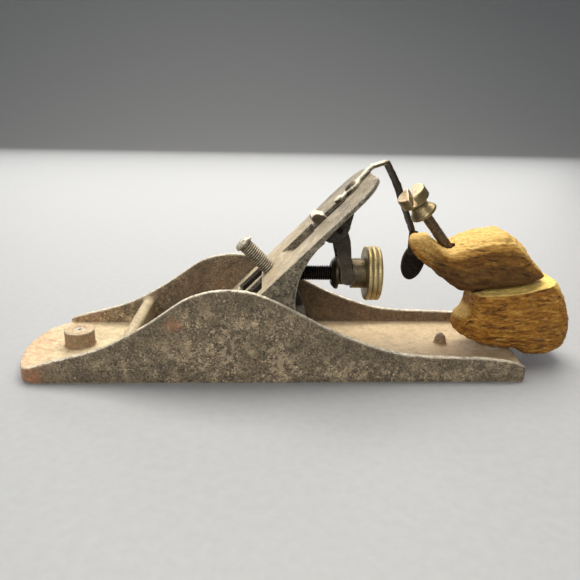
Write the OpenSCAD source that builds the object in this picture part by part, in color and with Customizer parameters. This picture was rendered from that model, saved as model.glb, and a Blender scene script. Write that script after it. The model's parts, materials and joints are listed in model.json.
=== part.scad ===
// Metal bench plane, smoothing size, as an assembly of separate pieces. Millimetres.
// +X runs from the toe to the heel, +Z is up, and the origin is the middle of the sole's underside.
// The front knob, the lever cap, the cutting iron and its chip breaker are not fitted.

/* [Body casting] */
// Length of the sole, toe to heel
sole_len = 233; // [231:0.5:235]
// Width over the cheeks
body_w = 61; // [60.4:0.2:62]
// Thickness of each cheek
cheek_t = 3; // [2.6:0.1:3.2]
// Thickness of the floor in front of the mouth
floor_front = 4.6; // [4:0.1:5]
// Thickness of the floor behind the mouth
floor_rear = 5.4; // [5.2:0.1:5.4]
// Radius of the toe in plan
toe_r = 56; // [52:1:60]
// Radius of the heel in plan
heel_r = 150; // [120:5:180]
// Radius of the sole's corners in plan
corner_r = 3.4; // [2:0.2:5]
// Radius of the worn corner at the right of the toe
worn_corner_r = 8; // [3:0.5:10]
// Width of the mouth along the sole
mouth_len = 5.5; // [4.5:0.5:7]
// Diameter of the boss for the knob stud
knob_boss_d = 13.9; // [13:0.1:15]
// Height of the knob boss above the sole
knob_boss_top = 13.2; // [12:0.2:14]

/* [Frog] */
// Width of the frog
frog_w = 52; // [49:0.5:52]
// Thickness of the iron bed plate
plate_t = 2.1; // [2:0.1:2.5]
// Length of the bed plate along its slope, from the sole
plate_top = 126; // [124:0.5:127]
// Depth of the channel down the middle of the bed
channel_depth = 3.5; // [2.5:0.1:4]
// Diameter of the lever cap screw's thread
cap_screw_d = 7.1; // [6.6:0.1:7.4]
// How far the lever cap screw stands out of the bed
cap_screw_out = 19; // [16:0.5:21]

/* [Depth adjustment] */
// Height of the adjusting stud above the sole
stud_z = 42; // [41:0.2:43]
// Diameter of the adjusting stud
stud_d = 7.1; // [6.6:0.1:7.4]
// Diameter of the adjusting wheel
wheel_d = 26; // [24:0.5:28]
// Width of the adjusting wheel
wheel_w = 6.8; // [6:0.2:8]
// Width of the groove that the yoke's pads sit in
groove_w = 6.3; // [6.2:0.1:6.6]

/* [Lateral lever] */
// Width of the lever strip
lever_w = 4.4; // [4.2:0.2:5.2]
// Thickness of the lever strip
lever_t = 1.7; // [1.5:0.1:2]
// Width of the oval thumb piece
thumb_w = 11.4; // [10.6:0.2:13]
// Height of the oval thumb piece
thumb_h = 19.4; // [17:0.2:20]

/* [Tote] */
// Thickness of the wooden handle
tote_t = 28; // [26:0.5:30]
// Diameter of the handle rod
rod_d = 4.8; // [4.4:0.1:5.2]
// Diameter of the brass nut's head
tote_nut_d = 13.4; // [12.5:0.1:14]

/* [Hidden] */
$fn = 64;
eps = 0.01;
far = 200;                 // longer than anything that it cuts
run_fit = 0.06;            // radial clearance of a turning fit
slide_fit = 0.07;          // radial clearance of the nut on its stud

cheek_in = body_w / 2 - cheek_t;
toe_x = -sole_len / 2;
heel_x = sole_len / 2;
toe_lip = 6.6;
toe_y = -3.5;              // the toe's arc is centred a little to the right of the middle

// The bed is the plane z = x + bed_c, at 45 degrees to the sole
bed_c = 46.5;
frog_half = frog_w / 2;
frog_foot_z = 13;          // underside of the frog's foot, on the receiver
frog_foot_top = 17;
frog_toe_z = 6;            // underside of the frog's front edge, on the ledge behind the mouth
frog_wall_t = 3;
screw_y = 11;              // frog screws, either side of the middle
screw_x = -11.5;
cap_screw_u = 62.2;        // places up the slope of the bed
pocket_low = 41;
pocket_high = 57;
channel_low = 70;          // the channel starts with a ramp
channel_ramp = 6;
channel_half = 8.4;
slot_low = 90.2;           // slot for the yoke's tongue, on past the end of the lateral lever
slot_high = 109.8;
slot_half = 5.3;
lever_pivot_u = 115.3;

// Yoke pivot, in X and Z
yoke_x = 28;
yoke_z = 65.5;
yoke_arm_in = 8;           // the arms stand outside the nut's flange
yoke_arm_out = 10.8;
yoke_pin_r = 1.5;
ear_out = 14;

// Adjusting nut, along X
nut_front = 26.5;
groove_front = 29.5;
groove_back = groove_front + groove_w;
collar_back = 42.35;
flange_r = 7.6;
collar_r = 7.1;
neck_r = 5.5;
pad_r = 2.95;              // the yoke's round pads, in the groove
pad_in = 5.9;
pad_h = 2.3;

// The handle rod is bent once, low in the wood
rod_foot = [108.2, 0.5, 4];
rod_bend = [107.3, 0.5, 22];
rod_tip = [61.98, -7.11, 77.94];
rod_fit = 0.7;             // radial clearance of the wood on the rod
rod_boss_top = 9;

lever_path = [[50.3, 5, 93.3], [56.6, 8, 83], [60.4, 10.2, 74.5], [67.3, 12.4, 59]];
thumb_c = [69.1, 13.4, 44.2];
thumb_t = 2;
knob_x = -93.6;
nib_x = 82.7;

// Points of a smooth curve through a few given points
function curve_point(a, b, c, d, t) =
    0.5 * (2 * b + (c - a) * t + (2 * a - 5 * b + 4 * c - d) * t * t + (3 * b - a - 3 * c + d) * t * t * t);
function curve(p, n) = concat([for (i = [0 : len(p) - 2]) for (k = [0 : n - 1])
    curve_point(p[max(i - 1, 0)], p[i], p[i + 1], p[min(i + 2, len(p) - 1)], k / n)], [p[len(p) - 1]]);
function loop(p, n) = let (m = len(p)) [for (i = [0 : m - 1]) for (k = [0 : n - 1])
    curve_point(p[(i + m - 1) % m], p[i], p[(i + 1) % m], p[(i + 2) % m], k / n)];

// Extrudes an outline drawn in X and Z, from y0 to y1
module across(y0, y1) translate([0, y1, 0]) rotate([90, 0, 0]) linear_extrude(y1 - y0) children();
// Extrudes an outline drawn in Y and Z, from x0 to x1
module along(x0, x1) translate([x0, 0, 0]) rotate([90, 0, 90]) linear_extrude(x1 - x0) children();
// Puts a child on the bed: X up the slope, Z out of the face
module on_bed(u, w = 0) translate([-bed_c, 0, 0]) rotate([0, -45, 0]) translate([u, 0, w]) children();
// A turned piece about X at the adjusting stud's height, from an outline of [x, radius]
module turned(outline) translate([0, 0, stud_z]) rotate([90, 0, 90]) rotate_extrude(convexity = 4)
    polygon([for (p = outline) [p[1], p[0]]]);
// A child whose Z runs from point a towards point b
module aim(a, b) {
    d = b - a;
    translate(a) rotate([0, acos(d[2] / norm(d)), atan2(d[1], d[0])]) children();
}
// A round bar from a to b
module bar(a, b, r) aim(a, b) rotate([0, 0, 90]) cylinder(r = r, h = norm(b - a));

// ---- Body casting ----

toe_c = [toe_x + toe_r, toe_y];
heel_c = [heel_x - heel_r, 0];
// Centre of a rounded corner of radius k, where an end's arc (way -1 is the toe) meets a side (-1 is right)
function corner(c, r, way, side, k) = let (y = side * (body_w / 2 - k))
    [c[0] + way * sqrt(pow(r - k, 2) - pow(y - c[1], 2)), y];
function bearing(c, p) = (atan2(p[1] - c[1], p[0] - c[0]) + 360) % 360;
// Points along an arc, leaving out the first and last when skip is 1
function arc(c, r, from, to, n, skip = 0) =
    [for (i = [skip : n - skip]) let (a = from + (to - from) * i / n) c + r * [cos(a), sin(a)]];

module sole_plan() {
    toe_left = corner(toe_c, toe_r, -1, 1, corner_r);
    toe_right = corner(toe_c, toe_r, -1, -1, worn_corner_r);
    heel_left = corner(heel_c, heel_r, 1, 1, corner_r);
    heel_right = corner(heel_c, heel_r, 1, -1, corner_r);
    from_left = bearing(toe_c, toe_left);
    from_right = bearing(toe_c, toe_right);
    to_left = bearing(heel_c, heel_left);
    to_right = bearing(heel_c, heel_right) - 360;
    polygon(concat(
        arc(toe_left, corner_r, 90, from_left, 8),
        arc(toe_c, toe_r, from_left, from_right, 24, 1),
        arc(toe_right, worn_corner_r, from_right, 270, 10),
        arc(heel_right, corner_r, -90, to_right, 8),
        arc(heel_c, heel_r, to_right, to_left, 12, 1),
        arc(heel_left, corner_r, to_left, 90, 8)));
}

cheek_crest = [[-108, 7.2], [-105.6, 7.8], [-96.8, 10.3], [-83.8, 13.7], [-73.3, 17.3], [-64.5, 21.9],
    [-57.5, 26], [-52.2, 29.4], [-45.3, 34.4], [-40.1, 38], [-35, 40.5], [-27.5, 42.6], [-20, 43.2],
    [-13.3, 42.7], [-6.7, 41.1], [1.5, 37.6], [9.5, 33.2], [23, 25.9], [33.4, 21.1], [47.5, 16],
    [60.2, 13.2], [78.4, 12.1], [91.4, 11.8], [99.5, 11], [105, 10.2], [109, 9.2], [112, 7.8],
    [114.6, 6.2]];

module cheek_side() polygon(concat([[toe_x - 1, 0], [toe_x - 1, toe_lip + 0.5]], curve(cheek_crest, 4),
    [[heel_x + 1, floor_rear + 0.5], [heel_x + 1, 0]]));

module cavity_side() polygon([[toe_x - 2, toe_lip], [-112.5, toe_lip], [-104.5, floor_front],
    [-bed_c, floor_front], [-bed_c, floor_rear], [heel_x + 2, floor_rear], [heel_x + 2, far],
    [toe_x - 2, far]]);

module mouth_side() polygon([[-bed_c - mouth_len, -1], [-bed_c - 1, -1], [frog_toe_z - bed_c, frog_toe_z],
    [frog_toe_z - bed_c, frog_toe_z + 1], [-bed_c - mouth_len, frog_toe_z + 1]]);

// Cross rib in front of the mouth, with a rounded top
rib_x = [-68.3, -62.7];
rib_top = 19.3;
module cross_rib() {
    r = (rib_x[1] - rib_x[0]) / 2;
    across(-cheek_in - 1, cheek_in + 1) polygon(concat([[rib_x[0], 1], [rib_x[1], 1]],
        [for (a = [0 : 15 : 180]) [rib_x[0] + r + r * cos(a), rib_top - r + r * sin(a)]]));
}

module frog_receiver() {
    translate([-22, -19, 1]) cube([37, 38, frog_foot_z - 1]);
    difference() {
        translate([-44, -25, 1]) cube([13.5, 50, frog_toe_z - 1]);
        across(-26, 26) mouth_side();
    }
}

module locating_nib() translate([nib_x, 0, 0]) rotate_extrude()
    polygon(concat([[0, 1], [2.95, 1], [2.95, 7]],
        [for (a = [15 : 15 : 75]) [2.95 * cos(a), 7 + 4.3 * sin(a)]], [[0, 11.3]]));

module body_casting() color([0.36, 0.32, 0.26]) difference() {
    union() {
        difference() {
            intersection() {
                linear_extrude(far) sole_plan();
                across(-body_w, body_w) cheek_side();
            }
            across(-cheek_in, cheek_in) cavity_side();
        }
        cross_rib();
        frog_receiver();
        locating_nib();
        translate([knob_x, 0, 1]) cylinder(d = knob_boss_d, h = knob_boss_top - 1);
        translate([rod_foot[0], rod_foot[1], 1]) cylinder(d = 13, h = rod_boss_top - 1);
    }
    across(-26.5, 26.5) mouth_side();
    translate([knob_x, 0, 3]) cylinder(r = 2.8, h = knob_boss_top);
    for (s = [-1, 1]) translate([screw_x, s * screw_y, 3.5]) cylinder(r = 2.5, h = frog_foot_z);
    aim(rod_foot, rod_bend) translate([0, 0, -1.5]) cylinder(d = rod_d, h = 20);
}

// The front knob's stud, broken off level with its boss
module knob_stud_stub() color([0.45, 0.36, 0.27]) translate([knob_x, 0, 3]) difference() {
    cylinder(r = 2.8, h = knob_boss_top - 3 - 0.3);
    translate([0, 0, knob_boss_top - 4.1]) cylinder(r1 = 0.2, r2 = 1.2, h = 1);
}

// ---- Frog ----

module plate_outline() {
    corner = 13;
    translate([0, -frog_half]) square([plate_top - corner, frog_w]);
    translate([0, -frog_half + corner]) square([plate_top, frog_w - 2 * corner]);
    for (s = [-1, 1]) translate([plate_top - corner, s * (frog_half - corner)]) circle(corner);
}

// Rear edge of a side wall, from the bed's underside down to the foot
wall_rear = [[23.5, 67], [15.3, 56.8], [10.7, 48.1], [9, 41], [8.6, 34.5], [10.4, 28.6], [13.6, 23],
    [16, 17], [16.5, 13]];
module side_wall(s) across(s > 0 ? frog_half - 0.2 - frog_wall_t : -frog_half + 0.2,
    s > 0 ? frog_half - 0.2 : -frog_half + 0.2 + frog_wall_t)
    polygon(concat([[frog_toe_z - bed_c, frog_toe_z], [21, 21 + bed_c]], curve(wall_rear, 4),
        [[-25, frog_foot_z], [-29, frog_toe_z]]));

// Lugs behind the bed that hold the yoke's pin
module yoke_ear(s) on_bed(0) across(s > 0 ? yoke_arm_out + 0.3 : -ear_out,
    s > 0 ? ear_out : -yoke_arm_out - 0.3)
    polygon([[90, -plate_t + 0.5], [92, -7.5], [94.8, -9.6], [99.6, -10.2], [102.6, -9.2], [105.6, -7.2],
        [108.2, -5.6], [109.4, -4.2], [110, -plate_t + 0.5]]);

module frog_casting() color([0.40, 0.37, 0.30]) difference() {
    union() {
        on_bed(0, -plate_t) linear_extrude(plate_t) plate_outline();
        on_bed(0, -5) translate([0, -frog_half, 0]) cube([pocket_low, frog_w, 5]);
        on_bed(pocket_high, -6.8) translate([0, -11, 0]) cube([slot_low - pocket_high, 22, 6.8]);
        for (s = [-1, 1]) {
            side_wall(s);
            yoke_ear(s);
        }
        translate([-27, -frog_half + 1, frog_foot_z]) cube([43, frog_w - 2, frog_foot_top - frog_foot_z]);
        // middle web, from the front slab to the stud's boss
        across(-1.6, 1.6) polygon([[-24, 16], [-3, 37], [-1, 42], [9, 42], [9, 34], [5, 28], [4, 16]]);
        on_bed(cap_screw_u, -5.2) cylinder(r = 7, h = 5.2);
        translate([-3, 0, stud_z]) rotate([0, 90, 0]) cylinder(r = 7.5, h = 12.5);
    }
    // everything under the seat and in front of the bed is open
    translate([-far, -far, -far]) cube([2 * far, 2 * far, far + frog_toe_z]);
    on_bed(0) translate([-far, -far, 0]) cube([2 * far, 2 * far, far]);
    // pockets that let a screwdriver reach the frog screws
    for (s = [-1, 1]) on_bed(pocket_low, -6)
        translate([0, s > 0 ? 2 : -19, 0]) cube([pocket_high - pocket_low, 17, 8]);
    // channel down the middle, and the slot that it runs into
    on_bed(0) across(-channel_half, channel_half) polygon([[channel_low, 0], [channel_low + channel_ramp,
        -channel_depth], [slot_low, -channel_depth], [slot_low, 1], [channel_low, 1]]);
    on_bed(slot_low - eps, -plate_t - 1) translate([0, -slot_half, 0])
        cube([slot_high - slot_low, 2 * slot_half, plate_t + 2]);
    // oblong holes over the frog screws
    for (s = [-1, 1]) translate([screw_x - 0.5, s * screw_y, frog_foot_z - 1]) {
        for (e = [-2.4, 2.4]) translate([e, 0, 0]) cylinder(r = 3, h = 6);
        translate([-2.4, -3, 0]) cube([4.8, 6, 6]);
    }
    on_bed(cap_screw_u, -9) cylinder(r = cap_screw_d / 2 + slide_fit, h = 12);
    translate([4, 0, stud_z]) rotate([0, 90, 0]) cylinder(d = stud_d, h = 20);
    translate([yoke_x, 0, yoke_z]) rotate([90, 0, 0]) cylinder(r = yoke_pin_r, h = far, center = true);
    on_bed(lever_pivot_u, -plate_t - 1) cylinder(r = rivet_r, h = plate_t + 3);
}

// Round slotted head: a low dome on a short rim, with its underside at z = 0
module slotted_head(r, rim, dome, slot_w) difference() {
    rotate_extrude() polygon(concat([[0, 0], [r, 0]],
        [for (a = [0 : 15 : 90]) [r * cos(a), rim + dome * sin(a)]]));
    translate([-r - 1, -slot_w / 2, rim + dome - 1.5]) cube([2 * r + 2, slot_w, 3]);
}

module frog_screw(s) color([0.30, 0.27, 0.24]) translate([screw_x, s * screw_y, 0]) {
    translate([0, 0, 4]) cylinder(r = 2.5, h = frog_foot_top + 1.2 - 4 + eps);
    translate([0, 0, frog_foot_top + 1.2]) slotted_head(4.3, 1.6, 1.6, 1.2);
}
module frog_washer(s) color([0.34, 0.31, 0.27])
    translate([screw_x, s * screw_y, frog_foot_top + 0.02]) difference() {
    cylinder(r = 5.4, h = 1.16);
    translate([0, 0, -1]) cylinder(r = 2.7, h = 4);
}
module frog_screw_left() frog_screw(-1);
module frog_screw_right() frog_screw(1);
module frog_washer_left() frog_washer(-1);
module frog_washer_right() frog_washer(1);

module lever_cap_screw() color([0.50, 0.48, 0.38]) on_bed(cap_screw_u) {
    translate([0, 0, -5.4]) cylinder(d = cap_screw_d, h = cap_screw_out + 2.6);
    translate([0, 0, cap_screw_out - 2.9]) slotted_head(4.3, 1.3, 1.6, 1.1);
}

// ---- Depth adjustment ----

arm_outline = [[26, 68], [24.7, 63], [25.8, 58.3], [27.6, 55], [28.7, 51], [29.7, 46.2], [29.8, 43],
    [30.5, 40.6], [32.8, 39.2], [35.4, 40], [36.9, 41.8], [37, 44.2], [34.9, 46.6], [34.5, 50],
    [34.1, 55.6], [33.4, 60.5], [31.8, 65], [29.6, 68.6]];
module yoke() color([0.33, 0.30, 0.25]) difference() {
    union() {
        for (s = [-1, 1]) {
            across(s > 0 ? yoke_arm_in : -yoke_arm_out, s > 0 ? yoke_arm_out : -yoke_arm_in)
                polygon(loop(arm_outline, 4));
            translate([(groove_front + groove_back) / 2, s > 0 ? pad_in : -pad_in - pad_h, stud_z])
                rotate([-90, 0, 0]) cylinder(r = pad_r, h = pad_h);
        }
        translate([yoke_x, 0, yoke_z]) rotate([90, 0, 0])
            cylinder(r = 3.2, h = 2 * yoke_arm_out, center = true);
        // tongue through the bed, with a square tip for the iron's slot
        on_bed(0) across(-4.6, 4.6) polygon([[97, -8.5], [101, -5.5], [99.2, -3.2], [98.4, -0.6], [98.1,
            1.6],
            [96, 4.6], [93.4, 4.8], [92.4, 3.9], [92.3, 0], [93.2, -2.4], [95, -5]]);
    }
    translate([yoke_x, 0, yoke_z]) rotate([90, 0, 0])
        cylinder(r = yoke_pin_r + run_fit, h = far, center = true);
}
module yoke_pin() color([0.28, 0.25, 0.22]) translate([yoke_x, 0, yoke_z]) rotate([90, 0, 0])
    cylinder(r = yoke_pin_r, h = 2 * ear_out + 0.4, center = true);

module adjusting_stud() color([0.16, 0.15, 0.14]) translate([4.6, 0, stud_z]) rotate([0, 90, 0])
    union() {
        cylinder(d = stud_d, h = 43);
        translate([0, 0, 43]) cylinder(r1 = stud_d / 2, r2 = stud_d / 2 - 0.9, h = 0.9);
    }

module nut_collar() color([0.36, 0.31, 0.23]) turned([
    [nut_front, stud_d / 2 + slide_fit], [nut_front, neck_r], [groove_front - 1.2, flange_r],
    [groove_front, flange_r], [groove_front, neck_r], [groove_back, neck_r],
    [groove_back, collar_r], [collar_back, collar_r], [collar_back, stud_d / 2 + slide_fit]]);

// Three rounded bands with two grooves between them
module adjusting_wheel() {
    r = wheel_d / 2;
    x0 = collar_back + 0.05;
    x1 = x0 + wheel_w;
    band = wheel_w / 3;
    color([0.55, 0.45, 0.24]) turned(concat([[x0, stud_d / 2 + slide_fit], [x0, r - 1]],
        [for (b = [0 : 2]) for (a = [15 : 30 : 165])
            [x0 + band * (b + 0.5) - band / 2 * cos(a), r - 0.8 + 0.8 * sin(a)]],
        [[x1, r - 1], [x1, r - 3], [x1 - 1.5, r - 4], [x1 - 1.5, 6.5], [x1, 5.8],
        [x1, stud_d / 2 + slide_fit]]));
}

// ---- Lateral adjustment ----

lever_yaw = 14.4;
rivet_r = 1.6;
// One straight stretch of the strip, running a little past each bend
module strip_link(a, b) {
    d = b - a;
    yaw = atan2(d[1], d[0]);
    pitch = atan2(d[2], norm([d[0], d[1]]));
    over = lever_t / 3;
    translate(a) rotate([0, -pitch, yaw]) translate([-over, -lever_w / 2, -lever_t / 2])
        cube([norm(d) + 2 * over, lever_w, lever_t]);
}
lever_top_u = 13.4;        // the flat stretch goes this far up from the pivot
lever_lift = 0.05;
lever_top = [-bed_c, 0, 0]
    + (lever_pivot_u + lever_top_u * cos(lever_yaw)) * [cos(45), 0, sin(45)]
    + [0, lever_top_u * sin(lever_yaw), 0]
    + (lever_lift + lever_t / 2) * [-sin(45), 0, cos(45)];
tab_y = [thumb_c[1] - thumb_t / 2 - 1.6, thumb_c[1] - thumb_t / 2];
module lateral_lever() color([0.38, 0.33, 0.26]) {
    on_bed(lever_pivot_u, lever_lift) rotate([0, 0, lever_yaw]) difference() {
        union() {
            translate([-8, -lever_w / 2, 0]) cube([lever_top_u + 8, lever_w, lever_t]);
            translate([-8, 0, 0]) cylinder(d = lever_w, h = lever_t + 0.9);
            cylinder(d = 9, h = lever_t);
        }
        translate([0, 0, -1]) cylinder(r = rivet_r + run_fit, h = 8);
    }
    strip_link(lever_top, lever_path[0]);
    for (i = [0 : len(lever_path) - 2]) strip_link(lever_path[i], lever_path[i + 1]);
    // tab that the thumb piece is riveted to
    translate([65.4, tab_y[0], 48]) cube([4.2, tab_y[1] - tab_y[0], 12]);
}
module lateral_rivet() color([0.42, 0.38, 0.30]) on_bed(lever_pivot_u) {
    head_w = lever_lift + lever_t + 0.1;
    translate([0, 0, -plate_t - 0.4]) cylinder(r = rivet_r, h = plate_t + 0.4 + head_w + eps);
    translate([0, 0, head_w]) rotate_extrude()
        polygon(concat([[0, 0]], [for (a = [0 : 15 : 90]) [2 * rivet_r * cos(a), 1.3 * sin(a)]]));
}
module thumb_piece() color([0.20, 0.16, 0.13]) difference() {
    translate([thumb_c[0], thumb_c[1] + thumb_t / 2, thumb_c[2]]) rotate([90, 12, 0])
        linear_extrude(thumb_t) polygon([for (a = [0 : 7.5 : 352.5])
            [thumb_w / 2 * cos(a), thumb_h / 2 * sin(a)]]);
    translate([68, 0, 50]) rotate([-90, 0, 0]) cylinder(r = 1.2, h = 40);
}
module thumb_rivet() color([0.30, 0.25, 0.20]) translate([68, 0, 50]) rotate([-90, 0, 0]) {
    translate([0, 0, tab_y[1]]) cylinder(r = 1.2, h = thumb_t + 0.6);
}

// ---- Tote ----

module tote_rod() color([0.27, 0.22, 0.18]) {
    aim(rod_foot, rod_bend) translate([0, 0, -1.5]) cylinder(d = rod_d, h = norm(rod_bend - rod_foot) +
        1.5);
    translate(rod_bend) sphere(d = rod_d + 0.2);
    bar(rod_bend, rod_tip, rod_d / 2);
}

// Brass nut with a flange, a neck and a head split by a wide slot, at the top of the rod
nut_base = 64.4;           // from the rod's bend to the nut's flange
nut_len = 12.6;
nut_bore_len = 8.4;
nut_slot_w = 1.9;
nut_slot_deep = 4;
nut_slot_turn = -25;
module tote_nut() color([0.62, 0.49, 0.28]) aim(rod_bend, rod_tip) translate([0, 0, nut_base]) {
    bore_r = rod_d / 2 + run_fit;
    head_r = tote_nut_d / 2;
    difference() {
        rotate_extrude() polygon([[bore_r, 0], [5.6, 0], [6.2, 0.5], [6.2, 1.6], [5.4, 2.6], [4.2, 4.2],
            [3.7, 5.6], [4.6, 6.6], [head_r - 0.6, 7.2], [head_r, 7.8], [head_r, nut_len - 0.5],
            [head_r - 0.5, nut_len], [0, nut_len], [0, nut_bore_len], [bore_r, nut_bore_len]]);
        rotate([0, 0, nut_slot_turn]) translate([-nut_slot_w / 2, -head_r - 1, nut_len - nut_slot_deep])
            cube([nut_slot_w, 2 * head_r + 2, nut_slot_deep + 1]);
    }
}

// Each wooden piece is a skin over sections [x, top, bottom, right edge, left edge], drawn for a handle
// of this thickness
tote_t_drawn = 28;
ring_n = 20;
ring_square = 0.62;        // 1 would be an ellipse, 0 a rectangle
function squared(v) = sign(v) * pow(abs(v), ring_square);
function ring(s) = let (mid_y = (s[3] + s[4]) / 2, mid_z = (s[1] + s[2]) / 2)
    [for (i = [0 : ring_n - 1]) let (a = 360 * i / ring_n) [s[0],
        (mid_y + (s[4] - s[3]) / 2 * squared(cos(a))) * tote_t / tote_t_drawn,
        mid_z + (s[1] - s[2]) / 2 * squared(sin(a))]];
module skin(sections) {
    n = ring_n;
    last = (len(sections) - 1) * n;
    polyhedron(points = [for (s = sections) each ring(s)], faces = concat(
        [[for (i = [0 : n - 1]) i]], [[for (i = [n - 1 : -1 : 0]) last + i]],
        [for (k = [0 : n : last - n]) for (i = [0 : n - 1]) let (j = (i + 1) % n) each
            [[k + i, k + n + i, k + n + j], [k + i, k + n + j, k + j]]]));
}

upper_sections = [[62.3, 58.6, 56.8, -2.6, 1.6], [63.6, 60.2, 54, -4.6, 3.2], [66.5, 61.4, 50.4, -7.2, 5],
    [71, 61.6, 46.8, -9.8, 7.2], [74.3, 58.8, 44.4, -11.2, 9], [77.5, 57.2, 41.8, -12.2, 10.4],
    [80.5, 57.2, 39.6, -13, 11.6], [84, 58.8, 37.4, -13.6, 12.2], [89, 61, 34.9, -13.9, 13],
    [95.3, 62.6, 35.6, -14, 13.4], [101, 63.8, 36.2, -14, 13.6], [105.3, 64, 36.6, -14, 13.6],
    [109, 62.2, 37, -14, 13.4], [114, 58.2, 37.9, -13.6, 13], [118.5, 52.6, 39, -12.8, 12],
    [122, 48.7, 40.3, -11, 10.4], [125.2, 45.2, 41.5, -8.6, 8.2], [127.2, 43.5, 42.3, -6, 5.6]];
lower_sections = [[86.2, 20.4, 18, -4, 1.6], [86.8, 22, 16.2, -5.8, 3.4], [88, 23.3, 14.5, -7.8, 5.4],
    [90, 24.3, 12.9, -9.4, 7.2], [92, 25.4, 11.7, -10.5, 8.4], [93.2, 26.8, 11.1, -11.1, 9],
    [93.7, 29.5, 10.8, -11.4, 9.2], [94.2, 44, 10.5, -11.8, 9.4], [97, 45, 9.2, -13, 11],
    [101, 45.5, 7.8, -14, 12.2], [107, 46, 6.6, -14.8, 13], [114, 46.5, 5.9, -15.2, 13.4],
    [117.6, 46.8, 5.7, -15.2, 13.4], [119.6, 47, 4.4, -15.2, 13.4], [122.5, 47, 3, -15.1, 13.4],
    [128, 47, 2.4, -14.7, 13.1], [131, 43.5, 2.5, -14.1, 12.7], [133.8, 40, 2.9, -13.4, 12.1],
    [136.6, 35.6, 3.8, -12.4, 11.3], [139, 30.4, 5, -11, 10.2], [141.2, 24.6, 6.8, -9.2, 8.6],
    [142.8, 19.5, 9.2, -7, 6.6], [143.6, 16, 11.6, -4.8, 4.4]];
// The crack between the two pieces, which is the lower piece's top
crack = [[80, 33.4], [89, 34], [95.3, 35], [101, 35.6], [107, 36.1], [114, 37.2], [118.5, 38.2],
    [124, 39.4], [129, 40.4], [134.5, 41.6], [150, 45]];

module tote_upper() color([0.70, 0.50, 0.26]) difference() {
    skin(curve(upper_sections, 2));
    bar(rod_bend, rod_tip, rod_d / 2 + rod_fit);
}
module tote_lower() color([0.66, 0.46, 0.23]) difference() {
    skin(lower_sections);
    across(-tote_t, tote_t) polygon(concat(crack, [[150, far], [80, far]]));
    bar(rod_bend, rod_tip, rod_d / 2 + rod_fit);
    translate(rod_bend) sphere(r = rod_d / 2 + rod_fit + 0.1);
    translate([rod_foot[0] - 0.5, rod_foot[1], 0]) cylinder(r = rod_d / 2 + rod_fit, h = rod_bend[2]);
    translate([rod_foot[0], rod_foot[1], 0]) cylinder(d = 14.5, h = rod_boss_top + 0.6);
}

body_casting();
knob_stud_stub();
frog_casting();
frog_screw_left();
frog_screw_right();
frog_washer_left();
frog_washer_right();
lever_cap_screw();
yoke();
yoke_pin();
adjusting_stud();
nut_collar();
adjusting_wheel();
lateral_lever();
lateral_rivet();
thumb_piece();
thumb_rivet();
tote_rod();
tote_nut();
tote_upper();
tote_lower();
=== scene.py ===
"""Looks of a weathered smoothing plane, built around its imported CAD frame. The scene is in metres."""

import json
import math
from itertools import product

import bpy
import numpy as np
from mathutils import Matrix, Vector


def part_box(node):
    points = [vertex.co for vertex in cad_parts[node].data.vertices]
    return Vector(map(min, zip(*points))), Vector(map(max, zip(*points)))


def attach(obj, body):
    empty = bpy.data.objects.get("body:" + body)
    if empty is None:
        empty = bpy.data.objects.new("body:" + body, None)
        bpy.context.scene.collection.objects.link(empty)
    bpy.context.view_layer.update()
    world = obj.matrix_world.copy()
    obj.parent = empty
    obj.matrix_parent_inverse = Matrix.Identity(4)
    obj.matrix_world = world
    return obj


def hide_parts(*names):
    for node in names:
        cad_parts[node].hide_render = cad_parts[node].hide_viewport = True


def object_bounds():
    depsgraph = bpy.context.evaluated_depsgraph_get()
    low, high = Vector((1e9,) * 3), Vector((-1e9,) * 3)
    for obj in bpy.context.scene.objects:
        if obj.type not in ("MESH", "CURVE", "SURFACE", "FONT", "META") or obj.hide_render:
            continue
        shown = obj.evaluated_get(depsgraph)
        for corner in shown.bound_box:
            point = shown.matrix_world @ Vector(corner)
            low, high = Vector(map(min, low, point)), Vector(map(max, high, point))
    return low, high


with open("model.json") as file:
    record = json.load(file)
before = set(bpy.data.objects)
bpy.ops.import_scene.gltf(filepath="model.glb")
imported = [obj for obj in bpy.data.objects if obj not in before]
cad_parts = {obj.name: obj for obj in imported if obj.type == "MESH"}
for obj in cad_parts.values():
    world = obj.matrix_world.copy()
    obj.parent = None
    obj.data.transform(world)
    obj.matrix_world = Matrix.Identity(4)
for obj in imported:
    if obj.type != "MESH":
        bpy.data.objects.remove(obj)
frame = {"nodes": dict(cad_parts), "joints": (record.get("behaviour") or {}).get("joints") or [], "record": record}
cad_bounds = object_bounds()

MM = 0.001
JOINTS = {joint["name"]: joint for joint in frame["joints"]}
BODY_OF = {node: body for body, nodes in frame["record"]["behaviour"]["bodies"].items() for node in nodes}
MOUNTS = {mount["name"]: mount for mount in frame["record"]["mounts"]}


# ---- Camera, light and floor ----

def make_camera():
    """The photograph's view: low, nearly square to the near cheek, a little rolled. Angles are in radians."""
    yaw, pitch, roll = 0.0490, 0.3315, 0.0203
    place = (-0.00497, -0.25227, 0.12019)
    forward = Vector((math.sin(yaw) * math.cos(pitch), math.cos(yaw) * math.cos(pitch), -math.sin(pitch)))
    level = Vector((math.cos(yaw), -math.sin(yaw), 0))
    above = level.cross(forward)
    right = level * math.cos(roll) + above * math.sin(roll)
    up = above * math.cos(roll) - level * math.sin(roll)
    data = bpy.data.cameras.new("camera")
    data.sensor_width = 36
    data.lens = 34.76
    data.clip_start = 0.01
    camera = bpy.data.objects.new("camera", data)
    turn = Matrix((right, up, -forward)).transposed().to_4x4()
    camera.matrix_world = Matrix.Translation(place) @ turn
    bpy.context.collection.objects.link(camera)
    bpy.context.scene.camera = camera


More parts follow.
